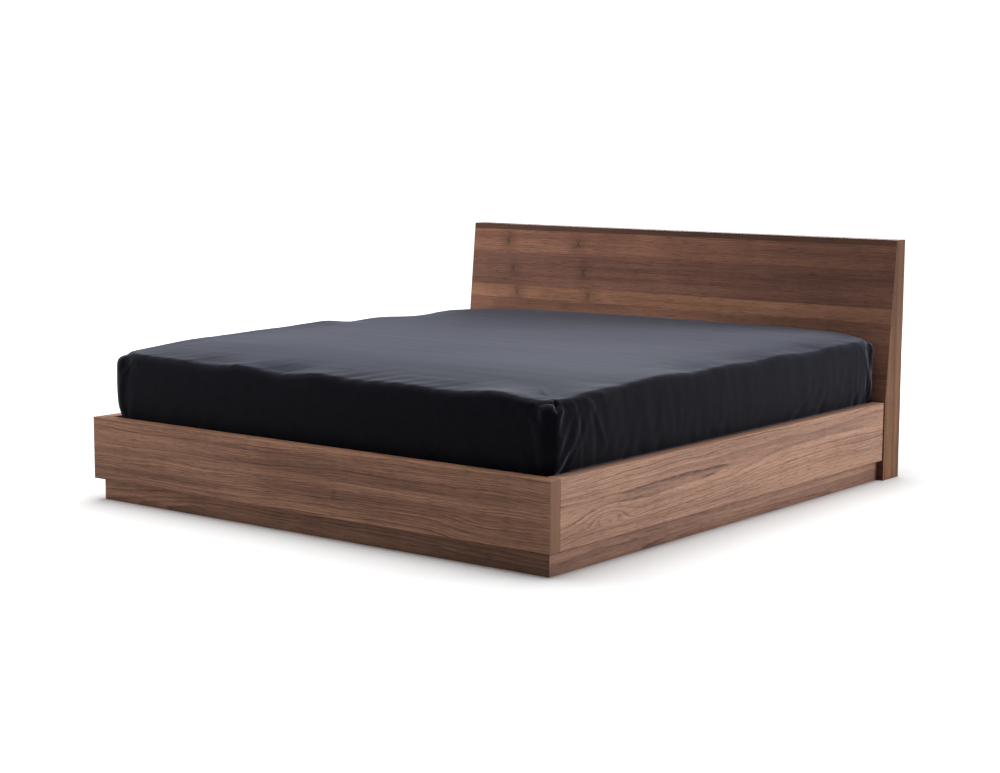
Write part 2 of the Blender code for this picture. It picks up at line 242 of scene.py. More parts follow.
# ---------------------------------------------------------------- wood
class Board:
    """Where a point lies in a piece of sawn wood, and fields of noise stretched along its grain.

    grain names the object axes that run along, across and into the board.
    """

    def __init__(self, g, grain, seed):
        self.g = g
        self.seed = seed
        place = g.node("ShaderNodeSeparateXYZ", Vector=g.node("ShaderNodeTexCoord").outputs["Object"])
        self.place = {axis: place.outputs[axis.upper()] for axis in "xyz"}
        self.length, self.across, self.depth = (self.place[axis] for axis in grain)
        shift = {"x": 1.37, "y": 2.11, "z": 0.73}
        self.along = g.math("ADD", self.length, seed * shift[grain[0]])

    def field(self, along_scale, across_scale, detail=2.0, offset=0.0):
        """Noise with so many swings a metre along and across the grain; offset picks another one."""
        g = self.g
        return g.noise(g.scaled(g.math("MULTIPLY", self.along, along_scale),
                                g.math("MULTIPLY_ADD", self.across, across_scale, offset + self.seed * 3.3),
                                g.math("MULTIPLY_ADD", self.depth, across_scale, offset)), detail)

    def swing(self, value, size):
        """A noise of 0 to 1 as a swing of that size about zero."""
        return self.g.math("MULTIPLY_ADD", value, size, -0.5 * size)

    def ring_count(self, cut, rings, knots, wander, tilt):
        """Growth rings between a point and the wandering pith, which lies cut metres deep."""
        g, swing, field = self.g, self.swing, self.field
        broad = swing(field(0.5, 1.2, 1.0), wander)
        middle = swing(field(2.3, 8.0, 2.0, 5.0), 0.040)
        fine = swing(field(9.0, 40.0, 2.0, 9.0), 0.0060)
        side = g.total(self.across, broad, middle, fine, g.math("MULTIPLY", self.along, tilt))
        deep = g.math("MULTIPLY_ADD", broad, -0.55, g.math("ADD", self.depth, cut))
        radius = g.math("SQRT", g.math("ADD", g.math("POWER", side, 2.0), g.math("POWER", deep, 2.0)))
        if knots:
            cell = g.scaled(g.math("MULTIPLY", self.along, 1.6),
                            g.math("MULTIPLY_ADD", self.across, 7.0, self.seed), 0.0)
            cells = g.node("ShaderNodeTexVoronoi", Vector=cell, Scale=1.0)
            swell = g.ranged(cells.outputs["Distance"], 0.0, 0.42, 1.0, 0.0)
            radius = g.math("MULTIPLY_ADD", g.math("POWER", swell, 2.0), knots, radius)
        count = g.math("MULTIPLY", radius, rings)
        uneven = g.noise(g.scaled(g.math("MULTIPLY", count, 0.33), self.seed, 0.0), 1.0)
        return g.math("MULTIPLY_ADD", uneven, 2.6, count)

    def ring_shades(self, count):
        """The slow darkening over each ring, and the broken line of late wood near its end."""
        g, field = self.g, self.field
        part = g.math("FRACT", count)
        chance = g.node("ShaderNodeTexWhiteNoise")
        chance.noise_dimensions = "1D"
        g.link(g.math("FLOOR", count), chance.inputs["W"])
        rise = g.math("MULTIPLY", g.math("POWER", part, 1.6), g.ranged(part, 0.90, 1.0, 1.0, 0.0))
        late = g.math("MULTIPLY", g.ranged(part, 0.60, 0.93), g.ranged(part, 0.93, 1.0, 1.0, 0.0))
        broken = g.ranged(field(3.0, 60.0, 2.0, 3.0), 0.34, 0.62)
        ragged = g.ranged(field(26.0, 380.0, 1.0, 27.0), 0.30, 0.56, 0.25, 1.0)
        late = g.math("MULTIPLY", g.math("MULTIPLY", late, ragged),
                      g.math("MULTIPLY", broken, g.ranged(chance.outputs["Value"], 0.15, 1.0)))
        return rise, late

    def crossed_mark(self, at, level):
        """How dark a small pair of crossing strokes is, with the soft shade round them."""
        g = self.g
        wavering = self.swing(self.field(3.0, 30.0, 1.0, 31.0), 0.016)
        beside = g.math("ABSOLUTE", g.total(self.length, -at, wavering))
        above = g.math("ABSOLUTE", g.math("ADD", self.across, -level))
        cross = g.math("ABSOLUTE", g.math("MULTIPLY_ADD", above, -0.34, g.math("ADD", beside, -0.002)))
        strokes = g.math("MULTIPLY", g.ranged(cross, 0.001, 0.006, 0.62, 0.0),
                         g.ranged(above, 0.010, 0.034, 1.0, 0.0))
        shade = g.math("MULTIPLY", g.ranged(beside, 0.0, 0.075, 0.30, 0.0),
                       g.ranged(above, 0.015, 0.06, 1.0, 0.35))
        return g.math("MAXIMUM", strokes, shade)


def wood(name, grain, light, dark, line, seed, cut, rings, line_share=0.5, ring_share=0.30, knots=0.0,
         streaks=1.0, wander=0.16, tilt=0.0, roughness=0.46, ends=None, highlight_edge=None, painted_shade=None,
         marks=()):
    """Sawn wood, its figure a slice through growth rings.

    light, dark and line are the colours of the ground and of the late wood. ends are the colours of
    faces across the grain, and highlight_edge the height of an edge along which a painted highlight
    stands in for the light that the edge catches. painted_shade is two places along the board and how
    much darker painted shade makes it between them, standing in for light that falls off along it.
    marks are the places, along and across, of small crossing strokes.
    """
    made, g = new_material(name)
    board = Board(g, grain, seed)
    field, swing = board.field, board.swing
    rise, late = board.ring_shades(board.ring_count(cut, rings, knots, wander, tilt))
    fibre = field(7.0, 430.0, 2.0, 2.0)
    streak = field(0.8, 34.0, 3.0, 7.0)
    cloud = field(1.2, 3.4, 1.0, 11.0)
    flame = field(9.0, 2.2, 1.0, 15.0)
    tone = g.total(0.5, swing(streak, 1.9 * streaks), swing(cloud, 1.0), swing(flame, 0.45),
                   swing(fibre, 1.5))
    color = g.mix(g.math("ADD", tone, 0.0, clamp=True), dark, light)
    color = g.mix(g.math("MULTIPLY", rise, ring_share), color, line)
    color = g.mix(g.math("MULTIPLY", late, line_share, clamp=True), color, line)
    pores = g.ranged(field(24.0, 900.0, 0.0, 4.0), 0.62, 0.74)
    flecks = g.ranged(field(20.0, 330.0, 1.0, 21.0), 0.59, 0.68)
    specks = g.math("MAXIMUM", g.math("MULTIPLY", pores, 0.35), g.math("MULTIPLY", flecks, 0.45))
    color = g.mix(specks, color, line)
    for at, level in marks:
        color = g.mix(board.crossed_mark(at, level), color, line)
    # Painted shade: the colour darkens along the board between two places, standing in for light that falls
    # off along it.
    if painted_shade:
        start, end, most = painted_shade
        color = g.mix(g.ranged(board.length, start, end, 0.0, most), color, line)
    if ends:
        color = end_grain(g, board, color, grain, *ends)
    # Painted highlight: a band just under the top edge is lightened, standing in for the light that the
    # edge catches.
    if highlight_edge is not None:
        rim = g.ranged(board.place["z"], highlight_edge - 0.0035, highlight_edge - 0.0010)
        color = g.mix(g.math("MULTIPLY", rim, 0.35), color, light)
    relief = g.total(g.math("MULTIPLY", fibre, 0.6), g.math("MULTIPLY", pores, -0.9))
    g.shader(Base_Color=color, Roughness=g.ranged(fibre, 0.2, 0.8, roughness - 0.05, roughness + 0.08),
             Specular_IOR_Level=0.10, Normal=g.bump(relief, 0.00025, 0.6))
    return made


def end_grain(g, board, color, grain, light, dark):
    """Faces across the grain get an edge band whose own grain stands upright."""
    facing = g.node("ShaderNodeSeparateXYZ", Vector=g.node("ShaderNodeNewGeometry").outputs["Normal"])
    mask = g.ranged(g.math("ABSOLUTE", facing.outputs[grain[0].upper()]), 0.8, 0.95)
    y, z = board.place["y"], board.place["z"]
    streak = g.noise(g.scaled(g.math("MULTIPLY", z, 1.5), g.math("MULTIPLY", y, 150.0), 0.0), 3.0)
    broad = g.noise(g.scaled(g.math("MULTIPLY", z, 2.5), g.math("MULTIPLY", y, 30.0), 4.0), 1.0)
    tone = g.math("ADD", g.math("MULTIPLY", streak, 0.7), g.math("MULTIPLY", broad, 0.5), clamp=True)
    return g.mix(mask, color, g.mix(tone, dark, light))


def paint(material, *names):
    for name in names:
        data = NODES[name].data
        data.materials.clear()
        data.materials.append(material)


# Colours of the wood: light ground, dark ground and late wood.
SIDE_WOOD = rgb(177, 138, 116), rgb(138, 102, 86), rgb(60, 42, 39)
FOOT_WOOD = rgb(153, 113, 90), rgb(107, 75, 60), rgb(42, 28, 23)
FOOT_PLINTH_WOOD = rgb(167, 124, 99), rgb(118, 84, 68), rgb(42, 28, 23)
SIDE_PLINTH_WOOD = rgb(165, 127, 108), rgb(124, 92, 78), rgb(60, 42, 39)
HEAD_WOOD = rgb(112, 78, 62), rgb(84, 57, 46), rgb(40, 26, 22)
HEAD_END_WOOD = rgb(149, 102, 69), rgb(100, 66, 41), rgb(54, 30, 12)
FOOT_RAIL_ENDS = rgb(130, 97, 77), rgb(104, 74, 58)
BIRCH = rgb(214, 184, 142), rgb(193, 160, 117), rgb(150, 112, 72)
PINE = rgb(206, 170, 122), rgb(186, 146, 98), rgb(142, 96, 56)
# The headboard's face boards from the top down: light ground, dark ground and how much painted shade
# darkens them towards the right.
FACE_BOARDS = ((rgb(88, 60, 46), rgb(68, 44, 34), 0.10), (rgb(148, 103, 82), rgb(106, 71, 57), 0.52),
               (rgb(136, 95, 79), rgb(96, 64, 54), 0.52), (rgb(176, 127, 99), rgb(130, 91, 70), 0.52),
               (rgb(146, 103, 84), rgb(108, 74, 59), 0.52))
HEAD_MARKS = (-0.83, -0.455)    # where crossed marks stand on the headboard's second face board
MARK_LEAN = 0.30                # how far they lie to the right for each metre further down


def head_marks(number):
    """Places of the crossed marks on one face board; the narrow top board has none."""
    if number == 1:
        return ()
    level, second = (sum(corner.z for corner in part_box(f"headboard_face_board_{n}")) / 2
                     for n in (number, 2))
    return [(at + MARK_LEAN * (second - level), level) for at in HEAD_MARKS]


def rail_wood():
    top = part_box("side_rail_right")[1].z
    # A painted highlight runs along each side rail's top edge.
    for side, seed, cut, tilt in (("right", 3.1, -0.93, -0.03), ("left", 8.4, 1.08, 0.02)):
        paint(wood(f"walnut_side_{side}", "yzx", *SIDE_WOOD, seed, cut, rings=150, knots=0.022,
                   line_share=0.85, ring_share=0.34, tilt=tilt, highlight_edge=top), f"side_rail_{side}")
    # Painted shade darkens the foot rail towards the right, standing in for light falling off across it; a
    # painted highlight runs along its top edge.
    paint(wood("walnut_foot", "xzy", *FOOT_WOOD, 5.2, cut=1.05, rings=150, knots=0.02, line_share=0.95,
               ring_share=0.46, streaks=1.35, highlight_edge=top, painted_shade=(0.0, 1.1, 0.22), ends=FOOT_RAIL_ENDS),
          "foot_rail")
    # Painted shade darkens the foot and head plinth boards towards the right, standing in for light that
    # falls off along them.
    paint(wood("walnut_plinth_foot", "xzy", *FOOT_PLINTH_WOOD, 6.6, cut=1.0, rings=150, line_share=0.6,
               ring_share=0.5, painted_shade=(-0.9, 0.9, 0.55)), "plinth_foot_board", "plinth_head_board")
    paint(wood("walnut_plinth_side", "yzx", *SIDE_PLINTH_WOOD, 2.7, cut=-0.9, rings=150, line_share=0.6),
          "plinth_left_board", "plinth_right_board")


def headboard_wood():
    late = HEAD_WOOD[2]
    # Painted shade darkens each face board towards the right, standing in for light that falls off across
    # the headboard.
    for number, (light, dark, most) in enumerate(FACE_BOARDS, 1):
        paint(wood(f"walnut_face_{number}", "xzy", light, dark, late, 1.9 * number, cut=-0.85, rings=170,
                   line_share=0.6, ring_share=0.35, streaks=0.8, wander=0.05, painted_shade=(-0.2, 0.95, most),
                   marks=head_marks(number)), f"headboard_face_board_{number}")
    # Painted shade darkens the lower panel towards the right as well.
    paint(wood("walnut_lower", "xzy", *HEAD_WOOD, 4.4, cut=-0.9, rings=150, painted_shade=(0.1, 0.95, 0.35)),
          "headboard_lower_panel")
    paint(wood("walnut_back", "xzy", *HEAD_WOOD, 7.7, cut=-0.98, rings=110, line_share=0.6, knots=0.03),
          "headboard_back_panel")
    paint(wood("walnut_top", "xyz", *HEAD_WOOD, 1.3, cut=-0.8, rings=110, line_share=0.4),
          "headboard_top_panel")
    # Painted shade darkens the ends towards the top, standing in for the ends being less lit higher up.
    paint(wood("walnut_end", "zyx", *HEAD_END_WOOD, 9.1, cut=-0.9, rings=170, line_share=0.9,
               ring_share=0.5, streaks=1.7, wander=0.05, painted_shade=(0.10, 0.85, 0.60)),
          "headboard_left_end", "headboard_right_end")


def inner_wood():
    paint(wood("birch", "xyz", *BIRCH, 2.2, cut=0.1, rings=110, line_share=0.4, roughness=0.6),
          *[name for name in NODES if name.startswith("slat_") and "cleat" not in name])
    paint(wood("pine", "yzx", *PINE, 6.1, cut=0.06, rings=150, line_share=0.6, roughness=0.62),
          "slat_cleat_left", "slat_cleat_right", "centre_beam")
    paint(wood("pine_upright", "zxy", *PINE, 3.8, cut=0.05, rings=150, line_share=0.6, roughness=0.62),
          *[name for name in NODES if name.startswith(("centre_leg", "headboard_rib"))],
          "headboard_bottom_rail")


# ---------------------------------------------------------------- hardware
def metal(name, color, roughness, metallic, grain=0.0):
    made, g = new_material(name)
    place = g.node("ShaderNodeTexCoord").outputs["Object"]
    speck = g.noise(place, 3.0, 0.6, scale=900.0)
    smudge = g.noise(place, 2.0, 0.5, scale=35.0)
    tone = g.mix(g.ranged(smudge, 0.3, 0.7), color, tuple(c * 0.82 for c in color[:3]) + (1.0,))
    g.shader(Base_Color=tone, Metallic=metallic,
             Roughness=g.ranged(g.math("ADD", speck, smudge), 0.6, 1.4, roughness - 0.08, roughness + 0.12),
             Normal=g.bump(speck, 0.0001 + grain, 0.4))
    return made


def hardware():
    paint(metal("powder_coat", (0.02, 0.02, 0.022, 1), 0.5, 0.0, 0.0001),
          *[name for name in NODES if name.startswith(("corner_bracket", "beam_hanger"))])
    paint(metal("zinc_plate", (0.52, 0.53, 0.55, 1), 0.32, 1.0),
          *[name for name in NODES if "bolt" in name])
    paint(metal("foot_nylon", (0.025, 0.025, 0.028, 1), 0.55, 0.0),
          *[name for name in NODES if name.startswith("levelling_foot")])


# ---------------------------------------------------------------- mattress and fitted sheet
SHEET_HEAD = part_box("fitted_sheet")[1].y
SLAT_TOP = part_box("slat_01")[1].z
RAIL_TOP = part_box("side_rail_right")[1].z
RAIL_INNER_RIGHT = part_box("side_rail_right")[0].x
RAIL_INNER_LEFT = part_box("side_rail_left")[1].x
RAIL_INNER_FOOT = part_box("foot_rail")[1].y
# How far the soft sides stand out over the rails' tops, from the rails' inner faces and at the head
# from the CAD sheet's end, and the room that they keep to the rails further down.
OVERHANG = {"left": 0.002, "right": 0.028, "foot": 0.008, "head": 0.006}
RAIL_ROOM = {"left": 0.002, "right": 0.002, "foot": 0.003}
EDGE = 0.030                # reach of the rounding between the top and the sides
CORNER = 0.026              # corner radius of the flat top inside that rounding
TAPER = 0.036               # how far the sides draw in at the bottom
WIDEST = 0.42               # height of the widest part
LEAN = 0.004                # how far the sides draw in over the first 0.1 m above that
UNDERCUT = 0.052            # height over which the sides draw in just above the rails
REST = 0.0015               # room that the cloth keeps to what it lies on
Rim = namedtuple("Rim", "left right foot head")
# Where the flat of the top ends and its rounded edges begin.
RIM = Rim(left=RAIL_INNER_LEFT - OVERHANG["left"] + EDGE,
          right=RAIL_INNER_RIGHT + OVERHANG["right"] - EDGE,
          foot=RAIL_INNER_FOOT - OVERHANG["foot"] + EDGE,
          head=SHEET_HEAD + OVERHANG["head"] - EDGE)
# Crests and hollows of the sheet's upper edges, as place along the edge and height.
FOOT_EDGE = ((-0.92, 0.536), (-0.65, 0.531), (-0.50, 0.521), (-0.34, 0.534), (-0.16, 0.514),
             (0.03, 0.536), (0.17, 0.526), (0.38, 0.532), (0.57, 0.526), (0.76, 0.546), (0.93, 0.526))
RIGHT_EDGE = ((-1.01, 0.526), (-0.84, 0.541), (-0.74, 0.540), (-0.48, 0.550), (-0.24, 0.537),
              (-0.08, 0.544), (0.13, 0.537), (0.29, 0.545), (0.52, 0.533), (0.70, 0.542), (0.93, 0.539))
LEFT_EDGE = ((-1.05, 0.533), (-0.65, 0.556), (-0.28, 0.563), (0.00, 0.572), (0.15, 0.552),
             (0.30, 0.559), (0.58, 0.542), (0.78, 0.553), (0.95, 0.548))
HEAD_EDGE = ((-0.95, 0.548), (-0.60, 0.562), (-0.20, 0.569), (0.40, 0.568), (0.80, 0.565), (0.95, 0.550))
FOOT_LEVEL = 0.527          # height of the top just inside the edges, at the foot and at the head
HEAD_LEVEL = 0.560
CROWN = 0.007
CORNER_SAG = 0.015          # how much lower the top lies at the right foot corner, and how far round
SAG_REACH = 0.32
WAVE_REACH = 0.075          # how far the edges' waves run in over the top
WAVE_SHARE = 0.75           # how much of them is left where the edge begins to round
SWELL = 0.0018              # low uneven swelling of the top
# The skin's rows of quads.
MATTRESS_QUAD = 0.030
SHEET_QUAD = 0.022
FINE_REACH = 0.12           # width of the band of quads half as wide along the edges
CORNER_STEPS = 4
EDGE_STEPS = 6
SIDE_STEPS = 12
LOW_START = 0.060           # height over the rails' tops where the sides' rows become closer
LOW_ROWS = (0.050, 0.040, 0.030, 0.022, 0.014, 0.008, 0.003, -0.004, -0.018, -0.034)
# The mattress.
TICKING_INSET = 0.005       # how much smaller the mattress is than the sheet
MATTRESS_REST = 0.0009      # room that the mattress keeps to the slats
# Rows round its underside: how far in and how far up.
UNDER_ROWS = ((0.010, 0.0105), (0.026, 0.0055), (0.055, 0.0042), (0.100, 0.0040))
UNDERSIDE_INSET = 0.11      # width of the plain border round the quilted underside
QUILT = 0.16                # pitch of the diamonds quilted on the underside
QUILT_DEPTH = 0.0040
MATTRESS_DRAW = (0.021, 0.055)  # how far its corners are drawn in, and how far round them
SLACK_DRAW = (0.035, 0.075)     # the same behind the sheet's corners, once the sheet has settled
SLACK_DROP = 0.6                # how far down those corners move, as a share of that
# The sheet.
SHEET_REST = 0.0022         # room that the hem keeps to the slats
TUCK = 0.095                # width of the hem under the mattress
# Rows of the hem: how far in, how far up and how much the elastic ruffles them.
HEM_ROWS = ((0.010, 0.008, 0.0), (0.028, 0.002, 0.0), (0.050, 0.0006, 0.0004),
            (0.072, 0.0008, 0.0008), (TUCK, 0.0010, 0.0010))
CLOTH = 0.0008              # thickness of the cloth
SETTLE_FRAMES = 22
MOST_MOVE = 0.016           # furthest that settling may move a point
# The right foot corner, where the cloth opens beside its seam.
HOLE_ASIDE = 0.019          # how far the hole lies from the seam
HOLE_DEPTH = 0.022
HOLE_WIDTH = 0.0085
ARCH_RISE = 0.014           # how far the cloth arches up over the hole
LOBE_ASIDE = 0.031          # how far the lobes lie on both sides of the hole, and stand out
LOBE = 0.005
CORNER_GROOVE = 0.0040      # depth of the seam below the hole
PLEAT_START = (0.793, -0.883)   # the short pleat on the top that runs out into this corner
PLEAT_END = (0.884, -0.985)
PLEAT_RISE = 0.0022
# How far the other folds stand out.
SIDE_FOLD = 0.0042          # upright folds on the right side, near the foot and everywhere
SIDE_RIPPLE = 0.0006
CREASE = 0.0030             # the long crease and the curl below the foot corner
FOOT_PLEAT = 0.0026         # slanting pleats over the foot edge and over the right edge
SIDE_PLEAT = 0.0018
SLACK_LINE = 0.0006         # faint lines across the top
HEAD_SEAM = 0.036           # how far before the head corner its seam runs down the right side
HEAD_GROOVE = 0.0030        # depth of that seam, and of the fold beside it
HEAD_FOLD = 0.0022
SEAM_WIDTH = 0.005
SEAM_THICK = 0.0012
ELASTIC_WIDTH = 0.009
# Linear colours: near-black cotton and its bluish sheen.
SATEEN = (0.0021, 0.0020, 0.0034, 1), (0.0031, 0.0029, 0.0048, 1)
SATEEN_SHEEN = (0.755, 0.80, 1.0, 1)
TICKING = rgb(206, 204, 198), rgb(226, 224, 218)


def ease(low, high, value):
    t = np.clip((value - low) / (high - low), 0, 1)
    return t * t * (3 - 2 * t)


def along_edge(points, at):
    """Height at each place along an edge, level at every crest and hollow."""
    result = np.full(np.shape(at), points[0][1])
    for (low, z_low), (high, z_high) in zip(points, points[1:]):
        result = result + (z_high - z_low) * ease(low, high, at)
    return result


def top_height(x, y):
    """A low crown, with the four edges' crests and hollows fading in from the rim."""
    across = np.clip((x - RIM.left) / (RIM.right - RIM.left), 0, 1)
    along = np.clip((y - RIM.foot) / (RIM.head - RIM.foot), 0, 1)
    climb = np.sqrt(ease(-1.0, 1.0, along)) * ease(-0.3, 0.25, along)
    level = FOOT_LEVEL + (HEAD_LEVEL - FOOT_LEVEL) * climb
    level = level + CROWN * (1 - np.abs(2 * across - 1) ** 3) * ease(0.0, 0.2, along)
    level = level - CORNER_SAG * np.exp(-(np.hypot(x - RIM.right, y - RIM.foot) / SAG_REACH) ** 2)
    waves, weight = 0.0, 0.0
    for points, at, apart in ((LEFT_EDGE, y, x - RIM.left), (RIGHT_EDGE, y, RIM.right - x),
                              (FOOT_EDGE, x, y - RIM.foot), (HEAD_EDGE, x, RIM.head - y)):
        share = np.exp(-(np.maximum(apart, 0) / WAVE_REACH) ** 1.4)
        waves = waves + share * (along_edge(points, at) - level) * WAVE_SHARE
        weight = weight + share
    swell = field(np.column_stack([x, y, np.zeros(len(x))]), 2.1, 2.6, 1.0, seed=4.0)
    return level + waves / np.maximum(1, weight) + SWELL * swell


def soft_sides(outward, z):
    """How far the side stands out from the start of its rounding, by its direction and height."""
    right, left, foot = (OVERHANG[side] + RAIL_ROOM[side] for side in ("right", "left", "foot"))
    draw = (np.maximum(outward[:, 0], 0) * right + np.maximum(-outward[:, 0], 0) * left
            + np.maximum(-outward[:, 1], 0) * foot)
    low = np.clip((WIDEST - z) / (WIDEST - SLAT_TOP), 0, 1)
    high = np.clip((z - WIDEST) / 0.10, 0, 1.5)
    under = np.clip(1 - (z - RAIL_TOP - 0.002) / UNDERCUT, 0, 1)
    return EDGE - draw * under ** 2 - TAPER * low ** 2.5 - LEAN * high ** 2


class Shell:
    """A skin: quads over a rounded rectangle, then rings of quads outward from its rim."""

    def __init__(self, box, corner, step, corner_steps):
        self.middle = ((box.left + box.right) / 2, (box.foot + box.head) / 2)
        self.corner = corner
        self.inner = ((box.right - box.left) / 2 - corner, (box.head - box.foot) / 2 - corner)
        xs, ys = (self.lines(inner, step, corner_steps) for inner in self.inner)
        self.columns, self.rows = len(xs), len(ys)
        flat = np.array([self.rounded(x, y) for y in ys for x in xs])
        self.x, self.y = flat[:, 0] + self.middle[0], flat[:, 1] + self.middle[1]
        self.outward = flat[:, 2:]
        self.points, self.rings, self.last = [], [], []
        self.faces = [(j * self.columns + i, j * self.columns + i + 1,
                       (j + 1) * self.columns + i + 1, (j + 1) * self.columns + i)
                      for j in range(self.rows - 1) for i in range(self.columns - 1)]
        last_row = (self.rows - 1) * self.columns
        self.rim = ([i for i in range(self.columns - 1)]
                    + [j * self.columns + self.columns - 1 for j in range(self.rows - 1)]
                    + [last_row + i for i in range(self.columns - 1, 0, -1)]
                    + [j * self.columns for j in range(self.rows - 1, 0, -1)])

    def lines(self, inner, step, corner_steps):
        coarse = inner - FINE_REACH
        middle = np.linspace(0, coarse, round(coarse / step) + 1)
        fine = np.linspace(coarse, inner, round(FINE_REACH / (step / 2)) + 1)[1:]
        block = inner + np.linspace(0, self.corner, corner_steps + 1)[1:]
        half = np.concatenate([middle, fine, block])
        return np.concatenate([-half[:0:-1], half])

    def rounded(self, x, y):
        """A place on the square grid moved into the rounded corner, and the way out from there."""
        u = max(0.0, (abs(x) - self.inner[0]) / self.corner)
        v = max(0.0, (abs(y) - self.inner[1]) / self.corner)
        side_x, side_y = (1 if x > 0 else -1), (1 if y > 0 else -1)
        reach = max(u, v)
        if reach == 0:
            return x, y, 0.0, 0.0
        turn = pi / 4 * v / u if u >= v else pi / 2 - pi / 4 * u / v
        out = (cos(turn), sin(turn))
        if u > 0 and v > 0:
            x = side_x * (self.inner[0] + self.corner * reach * out[0])
            y = side_y * (self.inner[1] + self.corner * reach * out[1])
        return x, y, side_x * out[0], side_y * out[1]

    def start(self, z):
        self.points = [np.column_stack([self.x, self.y, z])]
        self.rings = [list(self.rim)]
        self.last = list(self.rim)

    def ring(self, out, z):
        """One more ring, out metres from the rim and at height z; both may be arrays."""
        rim = self.rim
        first = sum(len(p) for p in self.points)
        place = np.column_stack([self.x[rim] + self.outward[rim, 0] * out,
                                 self.y[rim] + self.outward[rim, 1] * out, np.broadcast_to(z, len(rim))])
        self.points.append(place)
        new = list(range(first, first + len(rim)))
        for n in range(len(rim)):
            after = (n + 1) % len(rim)
            self.faces.append((self.last[n], new[n], new[after], self.last[after]))
        self.last = new
        self.rings.append(new)

    def column(self, x, y):
        """The points down the skin below the rim point nearest to x, y."""
        rim = np.array(self.rim)
        nearest = int(np.argmin(np.hypot(self.x[rim] - x, self.y[rim] - y)))
        return [ring[nearest] for ring in self.rings]

    def underside(self, drawn_in, low, relief):
        """Close the skin with the top's grid again, drawn in, over a height worked out by relief."""
        first = sum(len(p) for p in self.points)
        place = []
        for at, middle, inner in zip((self.x, self.y), self.middle, self.inner):
            place.append(middle + (at - middle) * (1 - drawn_in / (inner + self.corner)))
        self.points.append(np.column_stack([*place, low + relief(*place)]))
        border = [first + n for n in self.rim]
        for n in range(len(border)):
            after = (n + 1) % len(border)
            self.faces.append((self.last[n], border[n], border[after], self.last[after]))
        for j in range(self.rows - 1):
            for i in range(self.columns - 1):
                a = first + j * self.columns + i
                self.faces.append((a, a + self.columns, a + self.columns + 1, a + 1))

    def mesh(self, name):
        made = bpy.data.meshes.new(name)
        made.from_pydata(np.vstack(self.points).tolist(), [], self.faces)
        made.update()
        return made


def place_object(name, mesh):
    made = bpy.data.objects.new(name, mesh)
    bpy.context.scene.collection.objects.link(made)
    mesh.shade_smooth()
    return made


def evaluated(piece):
    """A copy of the piece's mesh with its modifiers worked in."""
    graph = bpy.context.evaluated_depsgraph_get()
    graph.update()
    return bpy.data.meshes.new_from_object(piece.evaluated_get(graph), depsgraph=graph)


def coordinates(mesh):
    flat = np.zeros(len(mesh.vertices) * 3)
    mesh.vertices.foreach_get("co", flat)
    return flat.reshape(-1, 3)


def vertex_normals(mesh):
    flat = np.zeros(len(mesh.vertices) * 3)
    mesh.vertices.foreach_get("normal", flat)
    return flat.reshape(-1, 3)


def set_coordinates(mesh, points):
    mesh.vertices.foreach_set("co", np.asarray(points, float).ravel())
    mesh.update()


def body_shell(inset, step):
    """The mattress's own skin, or with no inset the sheet's: top, rounded edge and sides."""
    shell = Shell(RIM, CORNER, step, CORNER_STEPS)
    top = top_height(shell.x, shell.y)
    shell.start(top - inset)
    rim = np.array(shell.rim)
    edge_top = top[rim]
    outward = shell.outward[rim]
    for turn in np.linspace(0, pi / 2, EDGE_STEPS + 1)[1:]:
        widest = soft_sides(outward, edge_top - EDGE)
        shell.ring((widest - inset) * sin(turn), edge_top - EDGE * (1 - cos(turn)) - inset * cos(turn))
    turn_in = RAIL_TOP + LOW_START
    for share in np.linspace(0, 1, SIDE_STEPS + 1)[1:]:
        z = edge_top - EDGE + (turn_in - edge_top + EDGE) * share
        shell.ring(soft_sides(outward, z - 2 * inset) - inset, z)
    for above in LOW_ROWS:
        shell.ring(soft_sides(outward, RAIL_TOP + above - 2 * inset) - inset, RAIL_TOP + above)
    return shell


def corner_pull(points, most, reach):
    """How far each point is drawn in, by its level distance from the nearest of the rim's corners."""
    across = np.minimum(np.abs(points[:, 0] - RIM.left), np.abs(points[:, 0] - RIM.right))
    along = np.minimum(np.abs(points[:, 1] - RIM.foot), np.abs(points[:, 1] - RIM.head))
    return most * np.exp(-(np.hypot(across, along) / reach) ** 2)


def draw_in(points, pull):
    """Move points towards the middle of the bed, as far across as along."""
    middle = np.array([(RIM.left + RIM.right) / 2, (RIM.foot + RIM.head) / 2])
    points[:, :2] -= np.sign(points[:, :2] - middle) * pull[:, None]


def quilted(x, y):
    """Relief of the quilted underside: seams that cross, and the cloth bulging down between them."""
    seam = np.minimum(np.abs(np.sin(pi * (x + y) / QUILT)), np.abs(np.sin(pi * (x - y) / QUILT)))
    return QUILT_DEPTH * (1 - np.sqrt(seam))


def mattress():
    """Ticking over a foam core: the same form as the sheet, a little smaller, quilted below."""
    shell = body_shell(TICKING_INSET, MATTRESS_QUAD)
    low = SLAT_TOP + MATTRESS_REST
    bottom = soft_sides(shell.outward[shell.rim], SLAT_TOP)
    for inwards, above in UNDER_ROWS:
        shell.ring(bottom - inwards, low + above)
    shell.underside(UNDERSIDE_INSET, low, quilted)
    made = place_object("mattress_ticking", shell.mesh("mattress_ticking"))
    points = coordinates(made.data)
    draw_in(points, corner_pull(points, *MATTRESS_DRAW))
    set_coordinates(made.data, points)
    return made


def hollow_corners(body):
    """Room behind the sheet's slack corners, once the sheet has settled."""
    points = coordinates(body.data)
    pull = corner_pull(points, *SLACK_DRAW) * ease(SLAT_TOP + 0.02, SLAT_TOP + 0.08, points[:, 2])
    draw_in(points, pull)
    points[:, 2] -= pull * SLACK_DROP
    set_coordinates(body.data, points)


